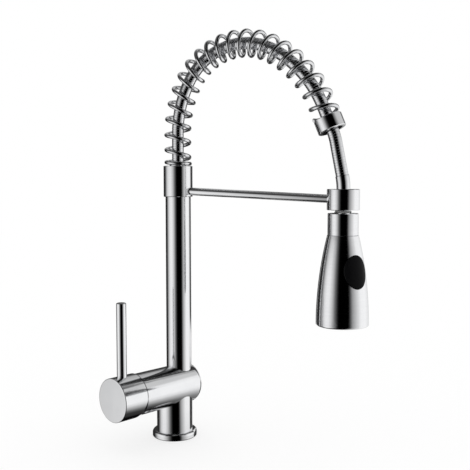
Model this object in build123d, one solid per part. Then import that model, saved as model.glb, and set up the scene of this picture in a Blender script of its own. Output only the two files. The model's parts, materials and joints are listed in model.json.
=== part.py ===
from build123d import *
import math
import os

# Pull down kitchen faucet with a spring arch, millimetres, +Z up.
# The origin is the centre of the base ring's underside, where it stands on the deck.
# The barrel lies along Y with its handle towards -Y, and the spout stands over +X.

# Fits between pieces
running_gap = 0.05  # radial, pieces that turn or slide on one another
fixed_gap = 0.03  # radial, pieces that are brazed, glued or screwed together
seat_gap = 0.05  # along the axis, where a turning piece rests on a fixed one
free_gap = 0.35  # pieces that pass one another without touching
over = 1.0  # how far a cut runs past the face that it opens
key_share = 0.6  # width of a grub screw's key against its thread

# Base ring and pedestal
flange_radius = 24.7
flange_height = 7.5
flange_top_round = 3.2
flange_bottom_round = 1.2
pedestal_radius = 19.8
foot_radius = 17.0
seal_inner_radius = 19.0
seal_width = 3.0
seal_thickness = 2.0

# Barrel
barrel_axis_height = 56.8
barrel_radius = 22.0
barrel_front = 56.0
barrel_back = 24.5
barrel_back_round = 7.0
cartridge_bore_radius = 18.0
cartridge_floor = 16.0

# Deck connections under the pedestal
port_spread = 6.4
port_setback = 8.8  # of the threaded inlets from the pedestal axis, towards the handle
port_thread_radius = 4.5
port_thread_length = 14.0
passage_radius = 2.8
passage_setback = 5.0  # of the rising passages behind the cartridge's floor
stud_thread_radius = 3.4
stud_setback = 11.0
stud_depth = 18.0

# Mixing cartridge, measured along the barrel from the pedestal axis
inlet_spread = 8.5
inlet_rise = 4.0
inlet_radius = 3.5
outlet_drop = 2.0
outlet_radius = 3.0
port_seal_width = 1.5
shell_length = 30.0
shell_wall = 2.3
shell_base = 4.0
shell_gap = 0.2
disc_thickness = 4.0
moving_disc_radius = 11.5
moving_disc_thickness = 3.5
mixing_radius = 5.8
mixing_depth = 2.0
carriage_thickness = 5.0
disc_film = 0.02
pivot_distance = 40.0
pivot_pin_radius = 2.0
pivot_pin_length = 25.0
carrier_radius = 15.2
carrier_thickness = 12.5
carrier_slot_width = 10.0
carrier_slot_height = 14.0
ball_radius = 3.0
ball_arm = 9.0
ball_neck_radius = 2.2
spindle_boss_radius = 5.0
spindle_boss_width = 9.0
spindle_square = 8.0
spindle_length = 38.0
lock_nut_length = 8.0
lock_nut_bore = 12.5
lock_nut_notch = 4.0
lock_nut_notches = 8
dome_edge_radius = 21.5
dome_wall = 4.3
dome_hole = 13.2

# Handle
cap_radius = 23.2
cap_length = 30.0
cap_gap = 0.5
cap_edge_round = 0.9
flow_tilt = 18.0  # degrees that the handle tilts outward to open
lever_setback = 12.9
lever_radius = 5.2
lever_length = 78.0
lever_end_round = 1.2
lever_seat = 2.2
lever_stud_radius = 3.0
lever_stud_length = 10.0
grub_radius = 2.5
handle_screw_length = 12.0

# Riser
riser_setback = 6.9
riser_radius = 14.0
riser_wall = 1.6
riser_well_gap = 0.25
riser_seat_rise = 9.2
slip_ring_thickness = 1.0
socket_radius = 10.0
socket_depth = 27.0
foot_collar_length = 18.0
foot_bore = 5.0
foot_port_radius = 2.0
foot_clearance = 1.0
seal_section = 2.0
upper_seal_drop = 3.5
lower_seal_drop = 16.6
stop_drop = 21.5
stop_groove_depth = 1.6

# Arm sleeve, support arm and holder ring
spout_rest_turn = 18.4  # degrees from +X, as the spout stands at rest
sleeve_radius = 16.0
sleeve_bottom = 267.2
sleeve_length = 34.1
sleeve_top_wall = 6.3
sleeve_edge = 0.6
sleeve_screw_radius = 2.0
sleeve_screw_rises = (9.0, 21.0)
arm_rise = 6.7  # of the arm's axis over the sleeve's lower edge
arm_drop = 7.9
arm_radius = 4.2
arm_reach = 189.5
ring_radius = 16.4
ring_height = 21.0
ring_edge = 0.5
bush_radius = 12.0
bush_bore = 7.3
bush_lip = 0.8

# Spring arch: rise, left bend, crown, long fall, collar run, easing bend, hanging stretch, last bend
left_bend_radius = 116.3
left_bend_turn = 27.0
crown_radius = 73.1
crown_turn = 92.2
fall_turn = 37.9
collar_run = 25.6  # straight stretch that ends at the collar's lower edge
easing_radius = 64.7
hang_lean = 11.4  # degrees that the bare hose hangs off upright
hang_length = 34.8
last_bend_radius = 62.2
hose_radius = 6.4
hose_root_radius = 6.0
hose_bore = 4.0
cuff_radius = 6.9
cuff_length = 13.5  # smooth stretch of the hose over the holder ring
rib_pitch = 4.4
rib_shares = (0.06, 0.18, 0.82, 0.94)  # of one pitch, to the rib's foot, crown, crown's end and foot
spring_mean_radius = 12.8
spring_wire_radius = 2.1
spring_turns = 21
spring_spread = 0.12  # share by which the turns lie wider at the ends than on average
spring_seat_gap = 0.3
spring_phase = 0.01  # turns from the lower end to where the wire first faces the spout
nipple_thread_radius = 8.0
nipple_flange_radius = 9.3
nipple_flange_height = 3.0
nipple_barb_length = 12.0
nipple_tail = 6.0
nipple_bore = 2.6
collar_radius = 14.6
collar_length = 14.0
collar_plate = 4.0
collar_bore = 10.8

# Hose end
ferrule_radius = 6.9
ferrule_length = 3.0
ferrule_barb = 9.0
nut_radius = 9.2
nut_top_radius = 7.6
nut_gap = 0.3
neck_height = 3.2
spigot_radius = 6.5
spigot_length = 24.6
spigot_bore = 3.5
spigot_seal_rise = 3.0
clip_radius = 8.4
clip_thickness = 1.3
clip_groove = 0.9
clip_opening = 6.5

# Spray head
head_collar_radius = 15.5
head_collar_height = 21.8
head_collar_top = 6.0
head_joint_edge = 0.4
bell_rim_radius = 26.6
bell_top_radius = 15.8
bell_height = 91.5
bell_straight = 2.0
bell_rim_round = 1.5
bell_wall = 2.5
bell_plate = 4.5
shell_spigot_radius = 13.0
shell_spigot_height = 5.5
shell_throat = 10.5
valve_neck_radius = 9.5
valve_body_radius = 13.0
valve_socket_depth = 12.0
valve_flange_radius = 22.0
valve_flange_top = 21.0
valve_flange_thickness = 8.0
valve_skirt_wall = 2.0
check_valve_radius = 5.0
check_valve_length = 12.0
check_valve_step = 2.0
spool_radius = 4.0
spool_length = 19.0
spool_waist_radius = 2.6
spool_land = 6.3
spool_nose = 2.0
spool_spring_bore = 2.6
spool_spring_length = 12.0
spool_drain = 1.8
face_recess = 1.2
face_thickness = 3.0
mat_thickness = 2.0
nozzle_radius = 1.3
nozzle_tip_radius = 0.9
nozzle_proud = 0.9
nozzle_row_radius = 16.0
nozzle_count = 18
aerator_radius = 8.0
aerator_depth = 8.0
aerator_hole = 1.5
aerator_hole_row = 4.8
aerator_holes = 6

# Spray button
button_turn = -35.0  # degrees from the spout, as the head hangs at rest
button_width = 26.0
button_height = 33.0
button_rise = 56.0
button_proud = 0.8
button_depth = 2.6
button_stem_radius = 3.0
button_stem_reach = 5.5
button_seal_width = 1.2

# Levels and places that follow from the sizes above
cap_face = barrel_front + cap_gap + cap_length
lever_distance = cap_face - lever_setback
shell_open_end = cartridge_floor + shell_length
shell_inside = cartridge_bore_radius - shell_gap - shell_wall
fixed_disc_start = cartridge_floor + shell_base
moving_disc_start = fixed_disc_start + disc_thickness + disc_film
carriage_start = moving_disc_start + moving_disc_thickness
carriage_end = carriage_start + carriage_thickness
carrier_end = shell_open_end - shell_gap
carrier_start = carrier_end - carrier_thickness
dome_radius = math.hypot(barrel_front - pivot_distance, dome_edge_radius)
riser_seat = barrel_axis_height + riser_seat_rise
riser_foot_level = riser_seat + slip_ring_thickness + seat_gap
sleeve_top = sleeve_bottom + sleeve_length
arm_height = sleeve_bottom + arm_rise
riser_top = sleeve_top - sleeve_top_wall
riser_bore = riser_radius - riser_wall
socket_floor = riser_seat - socket_depth
foot_radius_turned = socket_radius - running_gap
outlet_height = barrel_axis_height - outlet_drop
stop_height = riser_seat - stop_drop
ring_centre = arm_height - arm_drop
ring_bottom = ring_centre - ring_height / 2
ring_top = ring_bottom + ring_height
nut_top = ring_bottom - nut_gap
hose_end_level = nut_top + ferrule_length
head_top = ring_bottom - neck_height
nut_bottom = head_top + nut_gap
collar_level = head_top - head_collar_height
bell_bottom = collar_level - bell_height
spigot_bottom = nut_bottom - spigot_length
plate_bottom = collar_level - bell_plate
flange_level = bell_bottom + valve_flange_top
face_bottom = bell_bottom + face_recess
face_top = face_bottom + face_thickness
mat_top = face_top + mat_thickness
button_level = bell_bottom + button_rise
fall_start_heading = left_bend_turn + crown_turn
collar_heading = fall_start_heading + fall_turn
spool_top = button_level - button_stem_radius - free_gap
spool_bottom = spool_top - spool_length
spool_seat = spool_bottom - spool_spring_length

# Ways of standing a box, and frames that pieces are built in before they are put in place
standing = (Align.CENTER, Align.CENTER, Align.MIN)
hanging = (Align.CENTER, Align.CENTER, Align.MAX)
on_barrel = Plane(origin=(0, 0, barrel_axis_height), x_dir=(1, 0, 0), z_dir=(0, -1, 0)).location
on_spout = Pos(0, riser_setback, 0) * Rot(0, 0, spout_rest_turn)
on_head = on_spout * Pos(arm_reach, 0, 0) * Rot(0, 0, button_turn)


def upright(radius, bottom, top):
    # A round bar along Z between two heights
    return Pos(0, 0, bottom) * Cylinder(radius, top - bottom, align=standing)


def pipe(outer, inner, bottom, top):
    return upright(outer, bottom, top) - upright(inner, bottom - over, top + over)


def along_x(radius, start, end, height):
    # A round bar along X at a height
    return Pos(start, 0, height) * Rot(0, 90, 0) * upright(radius, 0, end - start)


def turned(*outline):
    # A profile of radius and height points, turned about Z
    points = [(radius, 0, height) for radius, height in outline]
    return revolve(make_face(Polyline(*points, close=True)), Axis.Z)


def seal_ring(inner, width, height):
    # Ring of square section about Z, centred on a height
    return pipe(inner + width, inner, height - width / 2, height + width / 2)


def rims(piece, radius, height):
    # The round edges of a turned piece at one radius and height
    circles = piece.edges().filter_by(GeomType.CIRCLE)
    level = [edge for edge in circles if abs(edge.arc_center.Z - height) < fixed_gap]
    return [edge for edge in level if abs(edge.radius - radius) < fixed_gap]


def ball(radius, height):
    return Pos(0, 0, height) * Sphere(radius)


# Base

def base_ring():
    ring = pipe(flange_radius, foot_radius + fixed_gap, 0, flange_height)
    ring = fillet(rims(ring, flange_radius, flange_height), flange_top_round)
    ring = fillet(rims(ring, flange_radius, 0), flange_bottom_round)
    return ring - pipe(seal_inner_radius + seal_width, seal_inner_radius, -over, seal_thickness)


def base_seal():
    outer = seal_inner_radius + seal_width - fixed_gap
    return pipe(outer, seal_inner_radius + fixed_gap, 0, seal_thickness)


def barrel_form(gap):
    # Outside of the barrel with its rounded back, let out by a gap
    back = -barrel_back - gap
    barrel = upright(barrel_radius + gap, back, barrel_front)
    return on_barrel * fillet(rims(barrel, barrel_radius + gap, back), barrel_back_round + gap)


def riser_well():
    # Well for the riser and socket for its foot
    well = upright(riser_radius + riser_well_gap, riser_seat, barrel_axis_height + barrel_radius + over)
    return Pos(0, riser_setback, 0) * (well + upright(socket_radius, socket_floor, riser_seat + over))


def inlet_passages():
    # Up from the threaded inlets and across to the cartridge's floor
    rising = upright(passage_radius, port_thread_length - over, barrel_axis_height + inlet_rise)
    crossing = upright(inlet_radius, cartridge_floor - passage_setback, cartridge_floor + over)
    both = []
    for side in (-1, 1):
        both.append(Pos(side * inlet_spread, passage_setback - cartridge_floor, 0) * rising)
        both.append(on_barrel * Pos(side * inlet_spread, inlet_rise, 0) * crossing)
    return both


def pedestal():
    pedestal = upright(foot_radius, 0, flange_height)
    pedestal += upright(pedestal_radius, flange_height, barrel_axis_height)
    pedestal -= barrel_form(fixed_gap)
    pedestal -= riser_well()
    pedestal -= inlet_passages()
    for side in (-1, 1):
        thread = upright(port_thread_radius, -over, port_thread_length)
        pedestal -= Pos(side * port_spread, -port_setback, 0) * thread
    return pedestal - Pos(0, stud_setback, 0) * upright(stud_thread_radius, -over, stud_depth)


def body_casting():
    casting = barrel_form(0)
    casting -= on_barrel * upright(cartridge_bore_radius, cartridge_floor, barrel_front + over)
    casting -= riser_well()
    casting -= inlet_passages()
    outlet = upright(outlet_radius, -riser_setback, cartridge_floor + over)
    casting -= on_barrel * Pos(0, -outlet_drop, 0) * outlet
    return casting - stop_bore(grub_radius, over)


def stop_bore(radius, past):
    # Round bar from the riser's stop groove out through the back of the barrel
    start = riser_setback + foot_radius_turned - stop_groove_depth + free_gap
    length = barrel_back + past - start
    return Pos(0, start, stop_height) * Rot(-90, 0, 0) * upright(radius, 0, length)


def riser_stop_screw():
    screw = stop_bore(grub_radius - fixed_gap, -over)
    key = Pos(0, barrel_back - 2 * over, stop_height) * Rot(-90, 0, 0) * hex_socket(grub_radius)
    return screw - key


def hex_socket(screw_radius):
    # Hexagon for the key of a grub screw, from one cut length below its face upward
    return extrude(RegularPolygon(screw_radius * key_share, 6), amount=2 * over)


# Cartridge, built along the barrel

def shell_ports(start, end):
    holes = Pos(0, -outlet_drop, 0) * upright(outlet_radius, start, end)
    for side in (-1, 1):
        holes += Pos(side * inlet_spread, inlet_rise, 0) * upright(inlet_radius, start, end)
    return holes


def port_seal(radius):
    # Seal round a port, flush with the cartridge's base
    return seal_ring(radius + fixed_gap, port_seal_width, cartridge_floor + port_seal_width / 2)


def port_groove(radius):
    return upright(radius + port_seal_width + 2 * fixed_gap, 0, cartridge_floor + port_seal_width)


def cartridge_seals():
    seals = [Pos(side * inlet_spread, inlet_rise, 0) * port_seal(inlet_radius) for side in (-1, 1)]
    seals.append(Pos(0, -outlet_drop, 0) * port_seal(outlet_radius))
    return on_barrel * Compound(seals)


def cartridge_shell():
    shell = upright(cartridge_bore_radius - shell_gap, cartridge_floor, shell_open_end)
    shell -= upright(shell_inside, fixed_disc_start, shell_open_end + over)
    shell -= shell_ports(cartridge_floor - over, fixed_disc_start + over)
    shell -= Pos(0, -outlet_drop, 0) * port_groove(outlet_radius)
    for side in (-1, 1):
        shell -= Pos(side * inlet_spread, inlet_rise, 0) * port_groove(inlet_radius)
    return on_barrel * shell


def fixed_disc():
    end = fixed_disc_start + disc_thickness
    disc = upright(shell_inside - fixed_gap, fixed_disc_start, end)
    return on_barrel * (disc - shell_ports(fixed_disc_start - over, end + over))


def moving_disc():
    disc = upright(moving_disc_radius, moving_disc_start, carriage_start)
    mixing = upright(mixing_radius, 0, moving_disc_start + mixing_depth)
    return on_barrel * (disc - Pos(0, inlet_rise / 2, 0) * mixing)


def disc_carriage():
    carriage = upright(moving_disc_radius, carriage_start, carriage_end)
    pocket = upright(ball_radius + 2 * running_gap, carriage_start - over, carriage_end + over)
    return on_barrel * (carriage - pocket)


def turn_carrier():
    carrier = upright(carrier_radius, carrier_start, carrier_end)
    middle = (carrier_start + carrier_end) / 2
    carrier -= Pos(0, 0, middle) * Box(carrier_slot_width, carrier_slot_height, carrier_thickness + over)
    hole = along_x(pivot_pin_radius + fixed_gap, -carrier_radius, carrier_radius, pivot_distance)
    return on_barrel * (carrier - hole)


def pivot_pin():
    half = pivot_pin_length / 2
    return on_barrel * along_x(pivot_pin_radius, -half, half, pivot_distance)


def spindle():
    half_boss = spindle_boss_width / 2
    spindle = along_x(spindle_boss_radius, -half_boss, half_boss, pivot_distance)
    spindle += upright(ball_neck_radius, pivot_distance - ball_arm, pivot_distance)
    spindle += ball(ball_radius, pivot_distance - ball_arm)
    square = Box(spindle_square, spindle_square, spindle_length, align=standing)
    spindle += Pos(0, 0, pivot_distance) * square
    hole = along_x(pivot_pin_radius + running_gap, -half_boss - over, half_boss + over, pivot_distance)
    return on_barrel * (spindle - hole)


def cartridge_lock_nut():
    end = shell_open_end + lock_nut_length
    nut = pipe(cartridge_bore_radius - fixed_gap, lock_nut_bore, shell_open_end, end)
    notch = Box(cartridge_bore_radius, lock_nut_notch, lock_nut_notch)
    for place in range(lock_nut_notches):
        nut -= Rot(0, 0, 360 * place / lock_nut_notches) * Pos(cartridge_bore_radius, 0, end) * notch
    return on_barrel * nut


def dome_ring():
    spigot_start = shell_open_end + lock_nut_length
    room = upright(dome_radius, barrel_front, pivot_distance + dome_radius)
    dome = ball(dome_radius, pivot_distance) & room
    dome += upright(cartridge_bore_radius - fixed_gap, spigot_start, barrel_front)
    dome -= ball(dome_radius - dome_wall, pivot_distance)
    hole = upright(dome_hole, spigot_start - over, pivot_distance + dome_radius + over)
    return on_barrel * (dome - hole)


# Handle

def handle_cap():
    back = barrel_front + cap_gap
    cap = upright(cap_radius, back, cap_face)
    cap = fillet(rims(cap, cap_radius, cap_face), cap_edge_round)
    cap -= ball(dome_radius + free_gap, pivot_distance)

    # Bevel under the back edge, where the cap comes down on the barrel at full tilt
    bevel_start = barrel_front + free_gap - pivot_distance
    behind = Box(3 * cap_radius, 3 * cap_radius, 3 * cap_radius, align=hanging)
    cap -= Pos(0, 0, pivot_distance) * Rot(-flow_tilt, 0, 0) * Pos(0, 0, bevel_start) * behind

    # Square socket for the spindle, seat for the lever and hole for the grub screw
    square = spindle_square + 2 * fixed_gap
    cap -= Pos(0, 0, pivot_distance) * Box(square, square, spindle_length + over, align=standing)
    cap = on_barrel * cap
    seat = upright(lever_radius + fixed_gap, lever_base(), lever_base() + lever_length)
    seat += upright(lever_stud_radius + fixed_gap, lever_base() - lever_stud_length, lever_base() + over)
    cap -= Pos(0, -lever_distance, 0) * seat
    screw_top = barrel_axis_height - spindle_square / 2
    hole = upright(grub_radius, barrel_axis_height - cap_radius - over, screw_top)
    return cap - Pos(0, -lever_distance, 0) * hole


def lever_base():
    return barrel_axis_height + cap_radius - lever_seat


def lever_pin():
    lever = upright(lever_radius, lever_base(), lever_base() + lever_seat + lever_length)
    lever = fillet(rims(lever, lever_radius, lever_base() + lever_seat + lever_length), lever_end_round)
    lever += upright(lever_stud_radius, lever_base() - lever_stud_length, lever_base())
    return Pos(0, -lever_distance, 0) * lever


def handle_screw():
    top = barrel_axis_height - spindle_square / 2 - fixed_gap
    screw = upright(grub_radius - fixed_gap, top - handle_screw_length, top)
    screw -= Pos(0, 0, top - handle_screw_length) * hex_socket(grub_radius)
    return Pos(0, -lever_distance, 0) * screw


# Riser, built about its own axis

def riser_slip_ring():
    ring = pipe(riser_radius, socket_radius + fixed_gap, riser_seat, riser_seat + slip_ring_thickness)
    return Pos(0, riser_setback, 0) * ring


def foot_groove(height, width, depth):
    half = width / 2
    return pipe(foot_radius_turned + over, foot_radius_turned - depth, height - half, height + half)


def riser_foot():
    foot = upright(foot_radius_turned, socket_floor + foot_clearance, riser_foot_level)
    foot += upright(riser_bore - fixed_gap, riser_foot_level, riser_foot_level + foot_collar_length)
    for drop in (upper_seal_drop, lower_seal_drop):
        foot -= foot_groove(riser_seat - drop, seal_section + 2 * fixed_gap, seal_section)
    foot -= foot_groove(outlet_height, 2 * outlet_radius, seal_section)
    foot -= foot_groove(stop_height, 2 * (grub_radius + free_gap), stop_groove_depth)
    foot -= upright(foot_bore, outlet_height - outlet_radius, riser_foot_level + foot_collar_length + over)
    for turn in (0, 90):
        foot -= Rot(0, 0, turn) * along_x(foot_port_radius, -socket_radius, socket_radius, outlet_height)
    return on_spout * foot


def riser_seals():
    drops = (upper_seal_drop, lower_seal_drop)
    inner = foot_radius_turned - seal_section + fixed_gap
    seals = [seal_ring(inner, seal_section - fixed_gap, riser_seat - drop) for drop in drops]
    return on_spout * Compound(seals)


def riser_tube():
    return on_spout * pipe(riser_radius, riser_bore, riser_foot_level, riser_top)


def arm_bar(radius, start, end):
    # Round bar on the support arm's sloping axis between two distances from the riser
    def axis_point(distance):
        return Vector(distance, 0, arm_height - arm_drop * distance / arm_reach)
    run = axis_point(end) - axis_point(start)
    frame = Plane(origin=axis_point(start), x_dir=(0, 1, 0), z_dir=run)
    return frame.location * upright(radius, 0, run.length)


def arm_sleeve():
    sleeve = upright(sleeve_radius, sleeve_bottom, sleeve_top)
    edges = rims(sleeve, sleeve_radius, sleeve_bottom) + rims(sleeve, sleeve_radius, sleeve_top)
    sleeve = chamfer(edges, sleeve_edge)
    sleeve -= upright(riser_radius + fixed_gap, sleeve_bottom - over, riser_top)
    sleeve -= upright(nipple_thread_radius + fixed_gap, riser_top - over, sleeve_top + over)
    sleeve -= arm_bar(arm_radius + fixed_gap, 0, sleeve_radius + over)
    for rise in sleeve_screw_rises:
        sleeve -= along_x(sleeve_screw_radius, -sleeve_radius - over, 0, sleeve_bottom + rise)
    return on_spout * sleeve


def sleeve_screws():
    screws = []
    for rise in sleeve_screw_rises:
        outer = math.sqrt(sleeve_radius**2 - sleeve_screw_radius**2) - fixed_gap
        inner = riser_radius + fixed_gap
        screw = along_x(sleeve_screw_radius - fixed_gap, -outer, -inner, sleeve_bottom + rise)
        key = Pos(-outer - over, 0, sleeve_bottom + rise) * Rot(0, 90, 0) * hex_socket(sleeve_screw_radius)
        screws.append(screw - key)
    return on_spout * Compound(screws)


def support_arm():
    return on_spout * arm_bar(arm_radius, riser_radius + free_gap, arm_reach - bush_radius - free_gap)


def holder_ring():
    ring = upright(ring_radius, ring_bottom, ring_top)
    edges = rims(ring, ring_radius, ring_bottom) + rims(ring, ring_radius, ring_top)
    ring = chamfer(edges, ring_edge)
    ring -= upright(bush_radius + fixed_gap, ring_bottom - over, ring_top + over)
    ring = Pos(arm_reach, 0, 0) * ring
    hole = arm_bar(arm_radius + fixed_gap, arm_reach - ring_radius - over, arm_reach - bush_radius)
    return on_spout * (ring - hole)


def holder_bush():
    top = ring_top - bush_lip
    bush = pipe(bush_radius, bush_bore, ring_bottom + bush_lip, top)
    edges = rims(bush, bush_bore, top) + rims(bush, bush_bore, ring_bottom + bush_lip)
    return on_spout * Pos(arm_reach, 0, 0) * chamfer(edges, bush_lip)


# Arch of spring and hose, in the spout's plane

def bend_headings():
    # Headings from straight up after the left bend, the crown, the fall and the easing bend
    turns = (left_bend_turn, fall_start_heading, collar_heading, 180 - hang_lean)
    return [math.radians(turn) for turn in turns]


def fall_radius():
    # Radius of the long fall that brings the hose upright over the holder ring
    left, crown, end, hang = bend_headings()
    reached = left_bend_radius * (1 - math.cos(left)) + crown_radius * (math.cos(left) - math.cos(crown))
    reached += collar_run * math.sin(end) + easing_radius * (math.cos(end) - math.cos(hang))
    reached += hang_length * math.sin(hang) + last_bend_radius * (1 + math.cos(hang))
    return (arm_reach - reached) / (math.cos(crown) - math.cos(end))


def rise_length():
    # Straight rise over the sleeve that brings the hose upright just at the holder ring's top
    left, crown, end, hang = bend_headings()
    climbed = left_bend_radius * math.sin(left) + crown_radius * (math.sin(crown) - math.sin(left))
    climbed += fall_radius() * (math.sin(end) - math.sin(crown)) + collar_run * math.cos(end)
    climbed += easing_radius * (math.sin(hang) - math.sin(end)) + hang_length * math.cos(hang)
    return ring_top - sleeve_top - climbed + last_bend_radius * math.sin(hang)


def arch_pieces():
    # Length and turn of each piece of the arch, from the sleeve's top to the end of the hose
    def bend(radius, turn):
        return radius * math.radians(turn), math.radians(turn)
    pieces = [(rise_length(), 0.0), bend(left_bend_radius, left_bend_turn), bend(crown_radius, crown_turn)]
    pieces += [bend(fall_radius(), fall_turn), (collar_run, 0.0)]
    pieces += [bend(easing_radius, 180 - hang_lean - collar_heading), (hang_length, 0.0)]
    return pieces + [bend(last_bend_radius, hang_lean), (ring_top - hose_end_level, 0.0)]


def arch_at(distance):
    # Point of the arch at a distance along it, and its heading from straight up
    x, z, heading = 0.0, sleeve_top, 0.0
    for length, turn in arch_pieces():
        step = min(distance, length)
        bend = turn * step / length
        if turn:
            radius = length / turn
            x += radius * (math.cos(heading) - math.cos(heading + bend))
            z += radius * (math.sin(heading + bend) - math.sin(heading))
        else:
            x += step * math.sin(heading)
            z += step * math.cos(heading)
        heading += bend
        distance -= step
        if distance <= 0:
            break
    return Vector(x, 0, z), heading


def arch_frame(distance):
    point, heading = arch_at(distance)
    return Plane(origin=point, x_dir=(0, 1, 0), z_dir=(math.sin(heading), 0, math.cos(heading)))


def arch_length(pieces):
    return sum(length for length, turn in arch_pieces()[:pieces])


def arch_wire(start, end):
    # Straight runs and tangent arcs of the arch between two distances
    edges, passed = [], 0.0
    for length, turn in arch_pieces():
        first, last = max(start, passed), min(end, passed + length)
        if last - first > 0.001:
            ends = [arch_at(d)[0] for d in (first, (first + last) / 2, last)]
            edges.append(ThreePointArc(*ends) if turn else Line(ends[0], ends[2]))
        passed += length
    return Wire(edges)


def ribbed_hose(start, end):
    # Each rib is four circles, and the hose has its bore
    ribs = round((end - start) / rib_pitch)
    pitch = (end - start) / ribs
    radii = (hose_root_radius, hose_radius, hose_radius, hose_root_radius)
    rings = [(start, hose_root_radius)]
    for rib in range(ribs):
        rings += [(start + (rib + share) * pitch, radius) for share, radius in zip(rib_shares, radii)]
    rings.append((end, hose_root_radius))
    outside = loft([arch_frame(d) * Circle(r) for d, r in rings], ruled=True)
    return outside - sweep(arch_frame(start) * Circle(hose_bore), arch_wire(start, end))


def hose_cuff(start, end):
    return sweep(arch_frame(start) * (Circle(cuff_radius) - Circle(hose_bore)), arch_wire(start, end))


def collar_start():
    return arch_length(5) - collar_length


def tail_start():
    # The hose that draws out starts one hose diameter over its end, inside the holder ring
    return arch_length(9) - 2 * hose_radius


def hose_in_spring():
    cuff_start = arch_length(8) - cuff_length
    return on_spout * (ribbed_hose(nipple_flange_height, cuff_start) + hose_cuff(cuff_start, tail_start()))


def hose_tail():
    return on_spout * hose_cuff(tail_start(), arch_length(9))


def biarc(start, start_way, end, end_way):
    # Two arcs between two points that meet smoothly, and leave and arrive along the given ways
    span, ways = end - start, start_way + end_way
    spread = 2 * (1 - start_way.dot(end_way))
    pull = span.dot(ways)
    reach = (math.sqrt(pull * pull + spread * span.dot(span)) - pull) / spread
    meeting = (start + end + (start_way - end_way) * reach) / 2
    first = Edge.make_tangent_arc(start, start_way, meeting)
    return [first, Edge.make_tangent_arc(meeting, first % 1, end)]


def coil_wire(place, turns, straight):
    # Path of a coil on half-turn biarcs, with straight ends: place gives its point for a count of turns
    def way(turn):
        step = 0.001
        return (place(turn + step) - place(turn - step)).normalized()
    stops = [half / 2 for half in range(2 * turns + 1)]
    first, last = place(0), place(turns)
    edges = [Line(first - way(0) * straight, first)]
    for start, end in zip(stops, stops[1:]):
        edges += biarc(place(start), way(start), place(end), way(end))
    edges.append(Line(last, last + way(turns) * straight))
    return Wire(edges)


def least_gap(place, turns, wire_radius):
    # Least gap between one turn of a coil and the next, measured on points
    steps = 40
    points = [place(i / steps) for i in range(turns * steps + 1)]
    nearest = min((points[i] - points[j]).length for i in range(len(points))
                  for j in range(i + steps // 2, min(i + 2 * steps, len(points))))
    return nearest - 2 * wire_radius


def spring_place(turn):
    # Left-handed coil on the arch: its first turn closes flat on the sleeve and its last half turn on the
    # collar, and between them its turns lie wider at the ends than on the crown
    inset = spring_wire_radius + spring_seat_gap
    length = collar_start() - 2 * inset
    open_turns = spring_turns - 1.5
    widest = 1 + spring_spread
    pitch = length / (open_turns + 0.75 * widest)
    left = spring_turns - turn
    if turn < 1:
        along = pitch * widest * turn**2 / 2
    elif left < 0.5:
        along = length - pitch * widest * left**2
    else:
        swell = math.sin(2 * math.pi * (turn - 1) / open_turns) / (2 * math.pi)
        along = pitch * (widest / 2 + turn - 1 + spring_spread * open_turns * swell)
    frame = arch_frame(inset + along)
    angle = 2 * math.pi * (turn - spring_phase)
    inward = frame.x_dir.cross(frame.z_dir)
    outward = inward * math.cos(angle) - frame.x_dir * math.sin(angle)
    return frame.origin + outward * spring_mean_radius


def spring():
    path = coil_wire(spring_place, spring_turns, 2 * spring_wire_radius)
    section = Plane(origin=path @ 0, z_dir=path % 0) * Circle(spring_wire_radius)
    tube = sweep(section, path)
    expected = math.pi * spring_wire_radius**2 * path.length
    gap = least_gap(spring_place, spring_turns, spring_wire_radius)
    print(f"spring volume {tube.volume:.1f} of {expected:.1f}, least gap {gap:.2f} mm")
    return on_spout * tube


def spring_end_collar():
    collar = upright(collar_radius, 0, collar_length)
    edges = rims(collar, collar_radius, 0) + rims(collar, collar_radius, collar_length)
    collar = chamfer(edges, sleeve_edge)
    collar -= upright(hose_radius + free_gap, -over, collar_length + over)
    collar -= upright(collar_bore, collar_plate, collar_length + over)
    return on_spout * arch_frame(collar_start()).location * collar


def hose_nipple():
    nipple = upright(nipple_thread_radius, riser_top - nipple_tail, sleeve_top)
    nipple += upright(nipple_flange_radius, sleeve_top, sleeve_top + nipple_flange_height)
    barb_top = sleeve_top + nipple_flange_height + nipple_barb_length
    nipple += upright(hose_bore - fixed_gap, sleeve_top, barb_top)
    return on_spout * (nipple - upright(nipple_bore, riser_top - nipple_tail - over, barb_top + over))


# Hose end, built about the head's axis

def hose_ferrule():
    top = hose_end_level + ferrule_barb
    ferrule = upright(ferrule_radius, nut_top, hose_end_level - seat_gap)
    ferrule += upright(hose_bore - 2 * running_gap, nut_top, top)
    return on_head * (ferrule - upright(nipple_bore, nut_top - over, top + over))


def hose_nut():
    nut = turned((0, nut_bottom), (nut_radius, nut_bottom), (nut_top_radius, nut_top), (0, nut_top))
    nut += upright(spigot_radius, spigot_bottom, nut_bottom)
    groove = spigot_bottom + spigot_seal_rise
    half = seal_section / 2
    nut -= pipe(nut_radius, spigot_radius - seal_section, groove - half, groove + half)
    nut -= pipe(nut_radius, spigot_radius - clip_groove, clip_bottom(), clip_bottom() + clip_thickness)
    return on_head * (nut - upright(spigot_bore, spigot_bottom - over, nut_top + over))


def clip_bottom():
    return head_top - head_collar_top - free_gap - clip_thickness


def hose_nut_seal():
    inner = spigot_radius - seal_section + fixed_gap
    return on_head * seal_ring(inner, seal_section - fixed_gap, spigot_bottom + spigot_seal_rise)


def swivel_clip():
    inner = spigot_radius - clip_groove + fixed_gap
    clip = pipe(clip_radius, inner, clip_bottom(), clip_bottom() + clip_thickness)
    opening = Pos(-clip_radius, 0, clip_bottom()) * Box(clip_radius, clip_opening, 3 * clip_thickness)
    return on_head * (clip - opening)


# Spray head

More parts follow.
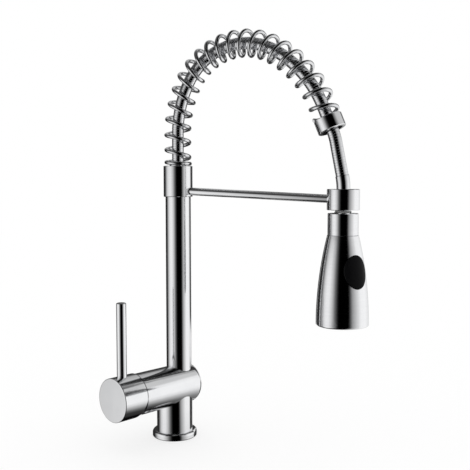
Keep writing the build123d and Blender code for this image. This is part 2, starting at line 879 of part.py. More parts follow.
def head_collar():
    plate = head_top - head_collar_top
    collar = upright(head_collar_radius, collar_level, head_top)
    collar = chamfer(rims(collar, head_collar_radius, head_top), ring_edge)
    collar = chamfer(rims(collar, head_collar_radius, collar_level), head_joint_edge)
    collar -= upright(shell_spigot_radius + fixed_gap, collar_level - over, plate)
    return on_head * (collar - upright(spigot_radius + 2 * running_gap, plate - over, head_top + over))


def bell_radius(height, inset):
    # Radius of the bell at a height, tangent to its straight rim
    rise = bell_height - bell_straight
    narrowing = bell_rim_radius - bell_top_radius
    arc = (rise**2 + narrowing**2) / (2 * narrowing)
    climbed = max(height - bell_bottom - bell_straight, 0)
    return bell_rim_radius - arc + math.sqrt((arc - inset) ** 2 - climbed**2)


def bell(inset, bottom, top):
    # Solid of the bell's shape, drawn in or let out by an inset
    straight_top = bell_bottom + bell_straight
    levels = (straight_top, (straight_top + top) / 2, top)
    curve = ThreePointArc(*[(bell_radius(z, inset), 0, z) for z in levels])
    corners = [(bell_radius(top, inset), 0, top), (0, 0, top), (0, 0, bottom),
               (bell_radius(bottom, inset), 0, bottom), (bell_radius(straight_top, inset), 0, straight_top)]
    return revolve(make_face([curve, Polyline(*corners)]), Axis.Z)


def button_prism(gap):
    # Oval bar along X through the button's place
    oval = Plane.YZ * Ellipse(button_width / 2 + gap, button_height / 2 + gap)
    return Pos(valve_body_radius, 0, button_level) * extrude(oval, amount=bell_rim_radius)


def head_shell():
    shell = bell(0, bell_bottom, collar_level)
    shell = fillet(rims(shell, bell_rim_radius, bell_bottom), bell_rim_round)
    shell = chamfer(rims(shell, bell_top_radius, collar_level), head_joint_edge)
    shell -= bell(bell_wall, bell_bottom - over, plate_bottom)
    shell += upright(shell_spigot_radius, collar_level, collar_level + shell_spigot_height)
    shell -= upright(shell_throat, plate_bottom - over, collar_level + shell_spigot_height + over)
    return on_head * (shell - button_prism(free_gap))


def valve_body():
    top = spigot_bottom + valve_socket_depth - 2 * seal_section
    skirt_bore = valve_flange_radius - valve_skirt_wall
    chamber_top = flange_level - valve_flange_thickness / 2
    body = turned((0, chamber_top), (skirt_bore, chamber_top), (skirt_bore, mat_top),
                  (valve_flange_radius, mat_top), (valve_flange_radius, flange_level),
                  (valve_body_radius, flange_level), (valve_body_radius, plate_bottom),
                  (valve_neck_radius, plate_bottom), (valve_neck_radius, top), (0, top))
    socket_bottom = spigot_bottom - free_gap
    body -= upright(spigot_radius + running_gap, socket_bottom, top + over)
    check_valve_seat = socket_bottom - check_valve_length
    body -= upright(check_valve_radius + fixed_gap, check_valve_seat, socket_bottom + over)
    body -= upright(spool_radius + running_gap, spool_seat, socket_bottom - check_valve_length + over)
    body -= upright(spool_drain, chamber_top - over, spool_seat + over)
    body -= along_x(button_stem_radius + running_gap, 0, valve_flange_radius, button_level)
    seal_end = valve_body_radius - button_seal_width - fixed_gap
    seal_outer = button_stem_radius + running_gap + button_seal_width + fixed_gap
    return on_head * (body - along_x(seal_outer, seal_end, valve_flange_radius, button_level))


def check_valve():
    top = spigot_bottom - free_gap
    bottom = top - check_valve_length
    step = top - check_valve_step
    valve = turned((spool_waist_radius, bottom), (check_valve_radius, bottom), (check_valve_radius, top),
                   (spigot_bore, top), (spigot_bore, step), (spool_waist_radius, step - check_valve_step))
    return on_head * valve


def button_seal():
    middle = valve_body_radius - button_seal_width / 2
    seal = seal_ring(button_stem_radius + running_gap, button_seal_width, 0)
    return on_head * Pos(middle, 0, button_level) * Rot(0, 90, 0) * seal


def spray_button():
    skin = bell(-button_proud, bell_bottom, collar_level)
    skin -= bell(button_depth, bell_bottom - over, collar_level + over)
    pad = button_prism(0) & skin
    middle = bell_radius(button_level, button_depth)
    stem = along_x(button_stem_radius, button_stem_reach, middle + button_depth / 2, button_level)
    return on_head * (pad + stem)


def diverter_spool():
    waist_low, waist_high = spool_bottom + spool_land, spool_top - spool_land
    spool = turned((0, spool_bottom), (spool_radius, spool_bottom), (spool_radius, waist_low),
                   (spool_waist_radius, waist_low), (spool_waist_radius, waist_high),
                   (spool_radius, waist_high), (spool_radius, spool_top - spool_nose),
                   (spool_waist_radius, spool_top), (0, spool_top))
    return on_head * spool


def diverter_spring():
    outer = spool_radius - free_gap
    return on_head * pipe(outer, spool_spring_bore, spool_seat, spool_bottom - seat_gap)


def nozzle_places():
    turns = [360 * place / nozzle_count for place in range(nozzle_count)]
    return [Rot(0, 0, turn) * Pos(nozzle_row_radius, 0, 0) for turn in turns]


def face_opening():
    return bell_radius(bell_bottom, bell_wall) - fixed_gap


def nozzle_mat():
    mat = pipe(face_opening() - fixed_gap, aerator_radius + fixed_gap, face_top, mat_top)
    tip = face_bottom - nozzle_proud
    nub = turned((0, tip), (nozzle_tip_radius, tip), (nozzle_radius, face_top), (0, face_top))
    return on_head * (mat + [place * nub for place in nozzle_places()])


def spray_face():
    face = pipe(face_opening(), aerator_radius + fixed_gap, face_bottom, face_top)
    hole = upright(nozzle_radius + fixed_gap, face_bottom - over, face_top + over)
    return on_head * (face - [place * hole for place in nozzle_places()])


def aerator():
    top = face_bottom + aerator_depth
    aerator = upright(aerator_radius, face_bottom, top)
    aerator -= upright(aerator_radius - aerator_hole, face_top, top + over)
    hole = upright(aerator_hole, face_bottom - over, face_top + over)
    aerator -= hole
    for place in range(aerator_holes):
        aerator -= Rot(0, 0, 360 * place / aerator_holes) * Pos(aerator_hole_row, 0, 0) * hole
    return on_head * aerator


pieces = (base_ring, base_seal, pedestal, body_casting, cartridge_shell, cartridge_seals,
          fixed_disc, cartridge_lock_nut, dome_ring, riser_slip_ring, riser_stop_screw,
          turn_carrier, pivot_pin, moving_disc, disc_carriage, spindle, handle_cap, lever_pin,
          handle_screw, riser_foot, riser_seals, riser_tube, arm_sleeve, sleeve_screws,
          support_arm, holder_ring, holder_bush, hose_nipple, spring, hose_in_spring, hose_tail,
          spring_end_collar, hose_ferrule, hose_nut, hose_nut_seal, swivel_clip, head_collar,
          head_shell, valve_body, check_valve, button_seal, nozzle_mat, spray_face, aerator,
          spray_button, diverter_spool, diverter_spring)
os.makedirs("parts", exist_ok=True)
for piece in pieces:
    export_step(piece(), f"parts/{piece.__name__}.step")
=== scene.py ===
import json
import math
import bpy
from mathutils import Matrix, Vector


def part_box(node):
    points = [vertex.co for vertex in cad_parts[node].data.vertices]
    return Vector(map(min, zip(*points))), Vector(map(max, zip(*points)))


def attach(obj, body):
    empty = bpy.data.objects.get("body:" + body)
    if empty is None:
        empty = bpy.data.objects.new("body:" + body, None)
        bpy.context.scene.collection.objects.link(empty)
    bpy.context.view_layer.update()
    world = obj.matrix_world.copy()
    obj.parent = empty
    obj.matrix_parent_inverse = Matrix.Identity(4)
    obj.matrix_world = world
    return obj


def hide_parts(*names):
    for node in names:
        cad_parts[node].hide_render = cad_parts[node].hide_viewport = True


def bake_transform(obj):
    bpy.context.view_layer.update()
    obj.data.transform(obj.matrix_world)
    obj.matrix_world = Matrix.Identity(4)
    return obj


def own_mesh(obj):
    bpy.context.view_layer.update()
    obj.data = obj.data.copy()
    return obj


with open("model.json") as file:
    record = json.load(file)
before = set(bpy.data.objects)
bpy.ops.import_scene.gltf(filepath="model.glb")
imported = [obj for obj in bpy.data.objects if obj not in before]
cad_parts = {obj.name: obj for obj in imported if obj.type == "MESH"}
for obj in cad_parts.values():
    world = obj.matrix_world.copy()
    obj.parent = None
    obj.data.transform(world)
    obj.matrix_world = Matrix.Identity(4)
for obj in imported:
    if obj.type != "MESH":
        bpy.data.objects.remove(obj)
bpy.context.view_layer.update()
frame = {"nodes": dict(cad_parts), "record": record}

nodes = frame["nodes"]
up = Vector((0, 0, 1))
print("frame loaded:", len(nodes), "nodes")


def boxCentre(node):
    low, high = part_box(node)
    return (low + high) / 2


# Arch of the spring and hose, metres and degrees. It stands on the sleeve and comes down into the ring.
arch = {
    "leftBend": 0.1163, "leftTurn": 27.0,
    "crownBend": 0.0731, "crownTurn": 92.2,
    "fallTurn": 37.9,
    "collarRun": 0.0256,  # straight stretch that ends at the collar's lower edge
    "easingBend": 0.0647,
    "hangLean": 11.4, "hangLength": 0.0348,
    "lastBend": 0.0622,
    "collarLength": 0.014,
}
archFoot = boxCentre("riser_tube")
archFoot.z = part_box("arm_sleeve")[1].z
archWay = boxCentre("holder_ring") - boxCentre("riser_tube")
archWay.z = 0
archReach = math.hypot(archWay.x, archWay.y)
archWay.normalize()
archSide = Vector((-archWay.y, archWay.x, 0))


def archPieces():  # length and turn of each piece: to the collar's lower edge, on to the ring, and inside it
    left = math.radians(arch["leftTurn"])
    crown = left + math.radians(arch["crownTurn"])
    end = crown + math.radians(arch["fallTurn"])
    hang = math.pi - math.radians(arch["hangLean"])
    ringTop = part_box("holder_ring")[1].z
    turns = ((arch["leftBend"], 0, left), (arch["crownBend"], left, crown),
             (arch["easingBend"], end, hang), (arch["lastBend"], hang, math.pi))
    runs = ((arch["collarRun"], end), (arch["hangLength"], hang))
    reached = sum(radius * (math.cos(a) - math.cos(b)) for radius, a, b in turns)
    reached += sum(length * math.sin(a) for length, a in runs)
    fall = (archReach - reached) / (math.cos(crown) - math.cos(end))  # the falling bend makes up the reach
    bends = turns + ((fall, crown, end),)
    climbed = sum(radius * (math.sin(b) - math.sin(a)) for radius, a, b in bends)
    climbed += sum(length * math.cos(a) for length, a in runs)
    rise = ringTop - archFoot.z - climbed  # the first straight makes up the height
    bentPieces = [(radius * (b - a), b - a) for radius, a, b in bends]
    leftPiece, crownPiece, easingPiece, lastPiece, fallPiece = bentPieces
    toCollar = [(rise, 0), leftPiece, crownPiece, fallPiece, (arch["collarRun"], 0)]
    toRing = [easingPiece, (arch["hangLength"], 0), lastPiece]
    inRing = [(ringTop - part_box("hose_tail")[0].z, 0)]
    return toCollar, toRing, inRing


def totalLength(pieces):
    return sum(length for length, turn in pieces)


toCollar, toRing, inRing = archPieces()
archRuns = toCollar + toRing + inRing
collarStart = totalLength(toCollar) - arch["collarLength"]
ringEntry = totalLength(toCollar + toRing)
hoseLength = totalLength(archRuns)


def archAt(distance):  # point and inward direction at a distance along the arch
    x = z = heading = 0.0
    for length, turn in archRuns:
        step = min(distance, length)
        bend = turn * step / length
        if turn:
            radius = length / turn
            x += radius * (math.cos(heading) - math.cos(heading + bend))
            z += radius * (math.sin(heading + bend) - math.sin(heading))
        else:
            x += step * math.sin(heading)
            z += step * math.cos(heading)
        heading += bend
        distance -= step
        if distance <= 0:
            break
    return archFoot + archWay * x + up * z, archWay * math.cos(heading) - up * math.sin(heading)


def addMesh(name, points, faces):
    mesh = bpy.data.meshes.new(name)
    mesh.from_pydata(points, [], faces)
    piece = bpy.data.objects.new(name, mesh)
    bpy.context.scene.collection.objects.link(piece)
    return piece


smoothAngle = 40  # degrees, sharper edges stay crisp
roundMiddle = 0.3  # middle of a rounded edge, as a share of its radius


def skin(name, rings, capped=True):  # smooth skin over rings of points, with flat caps on its ends
    count = len(rings[0])
    points = [point for ring in rings for point in ring]
    faces = []
    for start in range(0, len(points) - count, count):
        for i in range(count):
            j = (i + 1) % count
            faces.append((start + i, start + j, start + count + j, start + count + i))
    if capped:
        faces.append(tuple(reversed(range(count))))
        faces.append(tuple(range(len(points) - count, len(points))))
    piece = addMesh(name, points, faces)
    piece.data.validate()
    piece.data.update()
    for face in piece.data.polygons:
        face.use_smooth = True
    piece.data.set_sharp_from_angle(angle=math.radians(smoothAngle))
    return piece


def ringOf(centre, first, second, radius, sides):  # points round a centre, from one direction to another
    angles = [2 * math.pi * k / sides for k in range(sides)]
    return [centre + (first * math.cos(a) + second * math.sin(a)) * radius for a in angles]


def roundedEdge(edge):  # steps along and in from a corner that round it off
    middle = roundMiddle * edge
    return [(0, edge), (middle, middle), (edge, 0)]


def windWire(name, line, facts, normal):  # round wire along a line of points, with straight rounded tips
    wire, sides = facts["wireRadius"], facts["sides"]
    firstWay = (line[1] - line[0]).normalized()
    lastWay = (line[-1] - line[-2]).normalized()
    tipLength = 2 * wire
    tips = [(tipLength - back, wire - down) for back, down in roundedEdge(facts["tipRound"])] + [(wire, wire)]
    stations = [(line[0] - firstWay * out, radius) for out, radius in tips]
    stations += [(point, wire) for point in line]
    stations += [(line[-1] + lastWay * out, radius) for out, radius in reversed(tips)]
    rings = []
    for i, (point, radius) in enumerate(stations):
        before = stations[max(i - 1, 0)][0]
        after = stations[min(i + 1, len(stations) - 1)][0]
        way = (after - before).normalized()
        normal = (normal - way * normal.dot(way)).normalized()
        rings.append(ringOf(point, normal, way.cross(normal), radius, sides))
    return skin(name, rings)


# Coil spring over the hose, left-handed
# Its first turn closes on the sleeve, its last half turn on the collar
coilSpring = {
    "turns": 21, "closedFoot": 1, "closedEnd": 0.5,
    "meanRadius": 0.0128,
    "wireRadius": 0.0021, "tipRound": 0.0004,
    "spread": 0.12,  # how much wider the turns lie at the ends
    "seatGap": 0.0003,
    "phase": 0.01,
    "stepsPerTurn": 64, "sides": 20,
}


def coilPoint(turn):
    foot, end, spread = coilSpring["closedFoot"], coilSpring["closedEnd"], coilSpring["spread"]
    inset = coilSpring["wireRadius"] + coilSpring["seatGap"]
    length = collarStart - 2 * inset
    openTurns = coilSpring["turns"] - foot - end
    widest = 1 + spread
    pitch = length / (openTurns + widest * (foot + end) / 2)
    left = coilSpring["turns"] - turn
    if turn < foot:
        along = pitch * widest * turn ** 2 / (2 * foot)
    elif left < end:
        along = length - pitch * widest * left ** 2 / (2 * end)
    else:
        swell = math.sin(2 * math.pi * (turn - foot) / openTurns) / (2 * math.pi)
        along = pitch * (widest * foot / 2 + turn - foot + spread * openTurns * swell)
    point, inward = archAt(inset + along)
    angle = 2 * math.pi * (turn - coilSpring["phase"])
    return point + (inward * math.cos(angle) - archSide * math.sin(angle)) * coilSpring["meanRadius"]


def makeCoilSpring():
    steps = coilSpring["stepsPerTurn"]
    line = [coilPoint(i / steps) for i in range(coilSpring["turns"] * steps + 1)]
    return windWire("coilSpring", line, coilSpring, archSide)


# Return spring under the diverter, wound where the CAD has a plain sleeve. Its end turns are closed.
returnSpring = {
    "turns": 7,
    "meanRadius": 0.0030,
    "wireRadius": 0.0004, "tipRound": 0.0001,
    "press": 0.0018,  # how far the diverter comes down on it
    "stepsPerTurn": 40, "sides": 12,
}


def makeReturnSpring():
    low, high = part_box("diverter_spring")
    middle = boxCentre("diverter_spring")
    turns, steps, wire = returnSpring["turns"], returnSpring["stepsPerTurn"], returnSpring["wireRadius"]
    closedPitch = 2 * wire
    rise = high.z - low.z - 2 * wire
    openPitch = (rise - 2 * closedPitch) / (turns - 2)
    line = []
    for i in range(turns * steps + 1):
        turn = i / steps
        if turn < 1:
            along = closedPitch * turn
        elif turn > turns - 1:
            along = rise - closedPitch * (turns - turn)
        else:
            along = closedPitch + openPitch * (turn - 1)
        angle = 2 * math.pi * turn
        around = Vector((math.cos(angle), math.sin(angle), 0)) * returnSpring["meanRadius"]
        line.append(Vector((middle.x, middle.y, low.z + wire + along)) + around)
    piece = windWire("returnSpring", line, returnSpring, up)
    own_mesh(piece)
    return piece


spring = makeCoilSpring()
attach(spring, "spout")
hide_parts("spring")
print("spring wound:", len(spring.data.vertices), "points")
diverterSpring = makeReturnSpring()
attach(diverterSpring, "spray_head")
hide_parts("diverter_spring")
print("return spring wound:", len(diverterSpring.data.vertices), "points")


# Ribbed metal hose: fine flat ribs with narrow grooves, a smooth cuff over the ring, and its bore
ribbedHose = {
    "crown": 0.0064, "groove": 0.00624,
    "pitch": 0.0026,
    "profile": ((0.03, 0.0), (0.06, 0.7), (0.09, 1.0), (0.13, 1.0),  # share of the pitch and of the height
                (0.87, 1.0), (0.91, 1.0), (0.94, 0.7), (0.97, 0.0)),
    "cuff": 0.0069, "cuffLength": 0.0135, "cuffEdge": 0.0003, "cuffSteps": 14,
    "bore": 0.0040, "boreStep": 0.003, "fewestBoreSteps": 8,
    "drawn": 0.110,  # how far its end is pulled down
    "nippleHeight": 0.003,
    "sides": 48,
}


def ribStations(start, end):  # distances along the hose and the radius at each
    ribs = round((end - start) / ribbedHose["pitch"])
    pitch = (end - start) / ribs
    groove = ribbedHose["groove"]
    deep = ribbedHose["crown"] - groove
    stations = [(start, groove)]
    for rib in range(ribs):
        for share, height in ribbedHose["profile"]:
            stations.append((start + (rib + share) * pitch, groove + deep * height))
    return stations + [(end, groove)]


def cuffStations(start, end):
    radius, steps = ribbedHose["cuff"], ribbedHose["cuffSteps"]
    stations = [(start + along, radius - down) for along, down in roundedEdge(ribbedHose["cuffEdge"])]
    smooth = start + ribbedHose["cuffEdge"]
    return stations + [(smooth + (end - smooth) * i / steps, radius) for i in range(1, steps + 1)]


def packedPlace(place, length):  # where a place on the drawn hose lies while it is packed in the ring
    halvings = 40
    low, high = 0.0, length
    for halving in range(halvings):
        middle = (low + high) / 2
        share = middle / length
        pulled = ribbedHose["drawn"] * share * share * (3 - 2 * share)  # the blend's smooth share of the pull
        if middle + pulled < place:
            low = middle
        else:
            high = middle
    return low


def makeHose(name, stations):  # out along the skin, back through the bore
    start, end = stations[0][0], stations[-1][0]
    steps = max(ribbedHose["fewestBoreSteps"], round((end - start) / ribbedHose["boreStep"]))
    bore = [(end + (start - end) * i / steps, ribbedHose["bore"]) for i in range(steps + 1)]
    rings = []
    for distance, radius in stations + bore + stations[:1]:
        point, inward = archAt(distance)
        rings.append(ringOf(point, inward, archSide, radius, ribbedHose["sides"]))
    return skin(name, rings, capped=False)


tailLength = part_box("hose_tail")[1].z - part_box("hose_tail")[0].z
tailStart = hoseLength - tailLength
cuffStart = ringEntry - ribbedHose["cuffLength"]
ribsAndCuff = ribStations(ribbedHose["nippleHeight"], cuffStart) + cuffStations(cuffStart, tailStart)
hoseInSpring = makeHose("hoseInSpring", ribsAndCuff)
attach(hoseInSpring, "spout")
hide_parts("hose_in_spring")
drawnRibs = ribStations(0, tailLength + ribbedHose["drawn"])
packedRibs = [(tailStart + packedPlace(place, tailLength), radius) for place, radius in drawnRibs]
hoseTail = makeHose("hoseTail", packedRibs)
archAt(tailStart)[0]
archAt(hoseLength)[0]
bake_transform(hoseTail)
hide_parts("hose_tail")
print("hose made: %.0f mm" % (hoseLength * 1000))


def fillInputs(tree, node, inputs):  # sets each input to a value, or joins it to another node's output
    for socket, value in inputs.items():
        if isinstance(value, bpy.types.NodeSocket):
            tree.links.new(value, node.inputs[socket])
        else:
            node.inputs[socket].default_value = value


def addNode(tree, kind, inputs, operation=None):
    node = tree.nodes.new(kind)
    if operation:
        node.operation = operation
    fillInputs(tree, node, inputs)
    return node


def newMaterial(name, kind):  # material whose surface is one shader node
    material = bpy.data.materials.new(name)
    material.use_nodes = True
    tree = material.node_tree
    tree.nodes.clear()
    shader = tree.nodes.new(kind)
    addNode(tree, "ShaderNodeOutputMaterial", {"Surface": shader.outputs[0]})
    return material, tree, shader


# Pattern of every finish: a cloudy noise for tint and roughness, and a finer one for the bump
pattern = {
    "cloudDetail": 3.0,
    "fineTimes": 6, "fineDetail": 4.0,
    "tintStops": (0.35, 0.65),
    "noiseRange": (0.3, 0.7),  # where most of the noise lies
}

# Painted shade in the seams: dark lines, share of the brightness at distances along an axis, in metres
# painted shade on the cap's rear edge, in its seam with the barrel
capSeamShade = {"from": (0, 0, 0), "axis": (0, 1, 0), "stops": ((-0.0585, 1.0), (-0.0575, 0.75), (-0.0569, 0.2))}
# painted shade round the arm's root, where it meets the sleeve
armRootShade = {"from": archFoot, "axis": -archWay, "stops": ((-0.0172, 1.0), (-0.0164, 0.35), (-0.0159, 0.1))}

# Finish of each material: two tints, roughness range, and the stretch and size of its fine pattern
even = (1, 1, 1)  # no stretch
polish = {"tints": ((0.90, 0.905, 0.915), (0.87, 0.875, 0.89)), "rough": (0.07, 0.12), "metal": 1}
finishes = {
    "castChrome": {**polish, "stretch": even, "scale": 45, "bump": 0.008, "depth": 0.00004},
    # the cap's chrome carries painted shade in its seam
    "capChromeSeamShade": {**polish, "stretch": even, "scale": 45, "bump": 0.008, "depth": 0.00004, "rim": capSeamShade},
    # the arm's chrome carries painted shade at its root
    "armChromeRootShade": {**polish, "stretch": even, "scale": 60, "bump": 0.004, "depth": 0.00003, "rim": armRootShade},
    "tubeChrome": {**polish, "stretch": (6, 6, 0.4), "scale": 60, "bump": 0.004, "depth": 0.00003},
    "turnedChrome": {**polish, "stretch": (0.5, 0.5, 14), "scale": 60, "bump": 0.005, "depth": 0.00003},
    # darker tints than the other chrome: painted shade on the spring
    "wireChromeShaded": {"tints": ((0.84, 0.845, 0.855), (0.76, 0.765, 0.78)), "rough": (0.03, 0.07), "metal": 1,
                   "stretch": even, "scale": 240, "bump": 0.01, "depth": 0.00003},
    "hoseMetal": {"tints": ((0.86, 0.865, 0.875), (0.78, 0.785, 0.80)), "rough": (0.03, 0.07), "metal": 1,
                  "stretch": even, "scale": 300, "bump": 0.015, "depth": 0.00003},
    "bareBrass": {"tints": ((0.78, 0.60, 0.30), (0.70, 0.52, 0.24)), "rough": (0.22, 0.38), "metal": 1,
                  "stretch": (1, 1, 12), "scale": 120, "bump": 0.1, "depth": 0.00005},
    "plainSteel": {"tints": ((0.58, 0.58, 0.60), (0.50, 0.50, 0.52)), "rough": (0.22, 0.36), "metal": 1,
                   "stretch": (1, 1, 8), "scale": 150, "bump": 0.1, "depth": 0.00005},
    "lappedCeramic": {"tints": ((0.90, 0.90, 0.88), (0.86, 0.86, 0.84)), "rough": (0.18, 0.26), "metal": 0,
                      "stretch": even, "scale": 200, "bump": 0.02, "depth": 0.00002},
    "blackButton": {"tints": ((0.0025, 0.0025, 0.0028), (0.0040, 0.0040, 0.0043)), "rough": (0.2, 0.28),
                    "metal": 0, "gloss": 0.05, "stretch": even, "scale": 900, "bump": 0.08, "depth": 0.00003},
    "greyPlastic": {"tints": ((0.30, 0.31, 0.32), (0.26, 0.27, 0.28)), "rough": (0.32, 0.45), "metal": 0,
                    "stretch": even, "scale": 700, "bump": 0.1, "depth": 0.00004},
    "whitePlastic": {"tints": ((0.80, 0.80, 0.78), (0.76, 0.76, 0.74)), "rough": (0.3, 0.42), "metal": 0,
                     "stretch": even, "scale": 600, "bump": 0.08, "depth": 0.00004},
    "softRubber": {"tints": ((0.030, 0.030, 0.030), (0.045, 0.045, 0.045)), "rough": (0.55, 0.75), "metal": 0,
                   "stretch": even, "scale": 500, "bump": 0.15, "depth": 0.00005},
}


def noise(tree, vector, scale, detail):
    inputs = {"Vector": vector, "Scale": scale, "Detail": detail}
    return addNode(tree, "ShaderNodeTexNoise", inputs).outputs["Fac"]


def mapRange(tree, value, before, after):  # value carried over from one range to another
    inputs = {"Value": value, "From Min": before[0], "From Max": before[1],
              "To Min": after[0], "To Max": after[1]}
    return addNode(tree, "ShaderNodeMapRange", inputs).outputs["Result"]


def tint(tree, value, tints):
    ramp = addNode(tree, "ShaderNodeValToRGB", {"Fac": value})
    for stop, position, colour in zip(ramp.color_ramp.elements, pattern["tintStops"], tints):
        stop.position = position
        stop.color = (*colour, 1)
    return ramp.outputs["Color"]


def paintSeamShade(tree, place, colour, rim):  # painted shade: dark line along a seam, by the distance along an axis
    offset = addNode(tree, "ShaderNodeVectorMath", {0: place, 1: rim["from"]}, "SUBTRACT").outputs["Vector"]
    along = addNode(tree, "ShaderNodeVectorMath", {0: offset, 1: rim["axis"]}, "DOT_PRODUCT").outputs["Value"]
    for (start, first), (end, second) in zip(rim["stops"], rim["stops"][1:]):
        share = mapRange(tree, along, (start, end), (1, second / first))
        colour = addNode(tree, "ShaderNodeVectorMath", {0: colour, "Scale": share}, "SCALE").outputs["Vector"]
    return colour


def makeFinish(name):
    facts = finishes[name]
    material, tree, shader = newMaterial(name, "ShaderNodeBsdfPrincipled")
    place = addNode(tree, "ShaderNodeTexCoord", {}).outputs["Object"]
    stretch = {"Vector": place, "Scale": facts["stretch"]}
    stretched = addNode(tree, "ShaderNodeMapping", stretch).outputs["Vector"]
    cloudy = noise(tree, stretched, facts["scale"], pattern["cloudDetail"])
    fine = noise(tree, stretched, facts["scale"] * pattern["fineTimes"], pattern["fineDetail"])
    colour = tint(tree, cloudy, facts["tints"])
    # painted shade in a seam, multiplied into the base colour
    if "rim" in facts:
        colour = paintSeamShade(tree, place, colour, facts["rim"])
    rough = mapRange(tree, cloudy, pattern["noiseRange"], facts["rough"])
    relief = {"Height": fine, "Strength": facts["bump"], "Distance": facts["depth"]}
    normal = addNode(tree, "ShaderNodeBump", relief).outputs["Normal"]
    fillInputs(tree, shader, {"Base Color": colour, "Roughness": rough, "Normal": normal})
    shader.inputs["Metallic"].default_value = facts["metal"]
    if "gloss" in facts:
        shader.inputs["Specular IOR Level"].default_value = facts["gloss"]
    return material


finish = {name: makeFinish(name) for name in finishes}
slotFinish = {"chrome": "castChrome", "hose_metal": "hoseMetal", "brass": "bareBrass", "steel": "plainSteel",
              "ceramic": "lappedCeramic", "black_button": "blackButton", "grey_plastic": "greyPlastic",
              "white_plastic": "whitePlastic", "rubber": "softRubber"}
nodeFinish = {"handle_cap": "capChromeSeamShade", "support_arm": "armChromeRootShade",
              "riser_tube": "tubeChrome", "lever_pin": "tubeChrome"}
for node in ("head_shell", "head_collar", "arm_sleeve", "holder_ring",
             "hose_nut", "hose_ferrule", "hose_nipple"):
    nodeFinish[node] = "turnedChrome"


def paint(piece, name):
    piece.data.materials.clear()
    piece.data.materials.append(finish[name])


for part in frame["record"]["subparts"]:
    node = part["node"]
    paint(nodes[node], nodeFinish.get(node, slotFinish[part["material_slot"]]))
paint(spring, "wireChromeShaded")
paint(diverterSpring, "plainSteel")
paint(hoseInSpring, "hoseMetal")
paint(hoseTail, "hoseMetal")
print("finishes made:", len(finish))


# Camera of the photo, in a white room
view = {
    "place": (0.62005, -0.55144, 0.28392),
    "turn": (85.93, 0, 43.67),
    "lens": 57.447, "sensor": 36,
}
camera = bpy.data.objects.new("photoCamera", bpy.data.cameras.new("photoCamera"))
camera.location = view["place"]
camera.rotation_euler = [math.radians(a) for a in view["turn"]]
camera.data.lens = view["lens"]
camera.data.sensor_width = view["sensor"]
bpy.context.scene.collection.objects.link(camera)
bpy.context.scene.camera = camera
viewTurn = camera.rotation_euler.z
viewRight = Vector((math.cos(viewTurn), math.sin(viewTurn), 0))
viewNear = Vector((math.sin(viewTurn), -math.cos(viewTurn), 0))  # from the object towards the camera

white = (1, 1, 1, 1)
world = bpy.data.worlds.new("whiteRoom")
world.use_nodes = True
fillInputs(world.node_tree, world.node_tree.nodes["Background"], {"Color": white, "Strength": 1})
bpy.context.scene.world = world
bpy.context.scene.view_settings.view_transform = "Standard"

# White floor with a faint shadow. The metal sees the studio's floor, with a painted shadow under the object,
# in its place.
whiteFloor = {"half": 3.0, "below": 0.0002, "share": 0.7}  # share of plain white in what the camera sees
half, ground = whiteFloor["half"], -whiteFloor["below"]
corners = [(-half, -half, ground), (half, -half, ground), (half, half, ground), (-half, half, ground)]
floor = addMesh("floor", corners, [(0, 1, 2, 3)])
floorPaint, floorTree, floorMix = newMaterial("floorPaint", "ShaderNodeMixShader")
dull = {"Base Color": white, "Roughness": 1, "Specular IOR Level": 0}
dullWhite = addNode(floorTree, "ShaderNodeBsdfPrincipled", dull).outputs["BSDF"]
plainWhite = addNode(floorTree, "ShaderNodeEmission", {"Color": white, "Strength": 1}).outputs["Emission"]
cameraRay = addNode(floorTree, "ShaderNodeLightPath", {}).outputs["Is Camera Ray"]
whiteShare = addNode(floorTree, "ShaderNodeMath", {0: cameraRay, 1: whiteFloor["share"]}, "MULTIPLY")
fillInputs(floorTree, floorMix, {"Fac": whiteShare.outputs["Value"], 1: dullWhite, 2: plainWhite})
floor.data.materials.append(floorPaint)
floor.visible_glossy = False


# Studio that only the polished metal sees: a drum of wall with a floor, a ceiling and a strip
glowPaint, glowTree, glowLight = newMaterial("glowPaint", "ShaderNodeEmission")
glowLevel = addNode(glowTree, "ShaderNodeAttribute", {})
glowLevel.attribute_name = "glow"
fillInputs(glowTree, glowLight, {"Color": glowLevel.outputs["Color"]})


def glowSheet(name, rows):  # sheet of glowing points in rows, each a place and its level
    count = len(rows[0])
    points = [point for row in rows for point in row]
    faces = []
    for start in range(0, len(points) - count, count):
        for first in range(start, start + count - 1):
            faces.append((first, first + 1, first + count + 1, first + count))
    sheet = addMesh(name, [place for place, level in points], faces)
    glow = sheet.data.color_attributes.new("glow", "FLOAT_COLOR", "POINT")
    for spot, (place, level) in zip(glow.data, points):
        spot.color = (level, level, level, 1)
    sheet.data.materials.append(glowPaint)
    sheet.visible_camera = sheet.visible_diffuse = False
    sheet.visible_shadow = sheet.visible_transmission = False


def between(value, stops):  # level between the stops of a ramp
    for (low, first), (high, second) in zip(stops, stops[1:]):
        if value <= high:
            return first + (second - first) * (value - low) / (high - low)
    return stops[-1][1]


def stagePoint(near, right, height):
    return viewNear * near + viewRight * right + up * height


def drumPoint(turn, radius, right, height):
    a = math.radians(turn)
    return stagePoint(radius * math.cos(a), right + radius * math.sin(a), height)


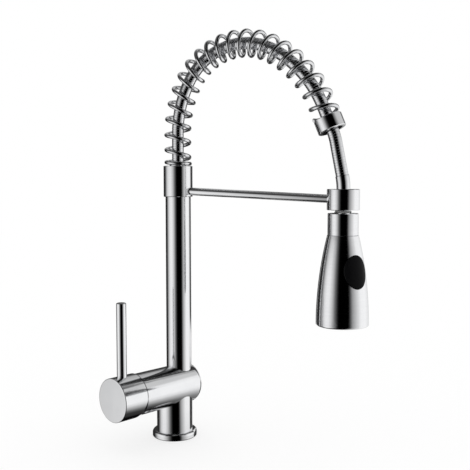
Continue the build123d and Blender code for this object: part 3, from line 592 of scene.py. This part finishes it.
# Levels round the wall go by the direction in degrees, 0 towards the camera and 90 to its right
studioWall = {
    "radius": 0.7, "right": 0.08, "columns": 120,
    "foot": ((-180, 0.04), (-115, 0.02), (-105, 0.25), (-90, 0.7), (-75, 0.9), (-60, 0.9), (-45, 0.6),
             (-30, 0.15), (-20, 0.02), (-14, 0), (25, 0), (31, 0.06), (37, 0.27), (52, 0.57), (75, 0.97),
             (100, 1), (145, 0.75), (165, 0.1), (180, 0.04)),
    "top": ((-180, 0.5), (-150, 0.4), (-130, 0.04), (-90, 0.02), (0, 0), (30, 0), (60, 0.55), (112, 0.6),
            (122, 0.04), (140, 0.04), (150, 0.6), (180, 0.5)),
    "heights": ((-0.12, 0), (0.25, 0), (0.45, 0.25), (0.56, 0.9), (0.95, 1)),  # share of the top's levels
}
floorHeight = studioWall["heights"][0][0]
ceilingHeight = studioWall["heights"][-1][0]
turns = [-180 + 360 * i / studioWall["columns"] for i in range(studioWall["columns"] + 1)]
rows = []
for height, share in studioWall["heights"]:
    row = []
    for turn in turns:
        level = between(turn, studioWall["foot"]) * (1 - share) + between(turn, studioWall["top"]) * share
        row.append((drumPoint(turn, studioWall["radius"], studioWall["right"], height), level))
    rows.append(row)
glowSheet("studioWall", rows)

# The wall's levels run in under the object and darken there, a painted shadow of the object that the metal
# mirrors: share of them at each radius
studioFloorShadowed = {
    "rings": ((0.001, 0.02), (0.08, 0.04), (0.125, 0.15), (0.18, 0.4), (0.3, 0.78), (0.45, 0.95), (0.72, 1)),
}
rows = []
for radius, share in studioFloorShadowed["rings"]:
    right = studioWall["right"] * min(radius / studioWall["radius"], 1)
    row = []
    for turn in turns:
        row.append((drumPoint(turn, radius, right, floorHeight), between(turn, studioWall["foot"]) * share))
    rows.append(row)
glowSheet("studioFloorShadowed", rows)

# Rows of the ceiling from the back: how near, and the levels on its left and right
studioCeiling = {
    "rows": ((-0.75, 0.6, 0.6), (-0.35, 0.4, 0.4), (-0.12, 0.1, 0.02),
             (0.1, 0.1, 0), (0.4, 0.08, 0), (0.8, 0, 0)),
    "left": (-0.8, -0.1), "right": (0.25, 0.9),
}
rows = []
for near, leftLevel, rightLevel in studioCeiling["rows"]:
    row = [(stagePoint(near, right, ceilingHeight), leftLevel) for right in studioCeiling["left"]]
    row += [(stagePoint(near, right, ceilingHeight), rightLevel) for right in studioCeiling["right"]]
    rows.append(row)
glowSheet("studioCeiling", rows)

# Dark strip behind the riser, pale at the height of the barrel
studioStrip = {
    "near": -0.12, "pale": 0.8,
    "across": ((0.05, 0.7), (0.08, 0.04), (0.21, 0.04), (0.26, 0.8)),
    "heights": ((-0.1, 1), (0.03, 1), (0.05, 0), (0.085, 0), (0.105, 1), (0.5, 1)),  # share of these levels
}
rows = []
for height, share in studioStrip["heights"]:
    row = []
    for right, level in studioStrip["across"]:
        shade = studioStrip["pale"] + (level - studioStrip["pale"]) * share
        row.append((stagePoint(studioStrip["near"], right, height), shade))
    rows.append(row)
glowSheet("studioStrip", rows)
print("stage set")
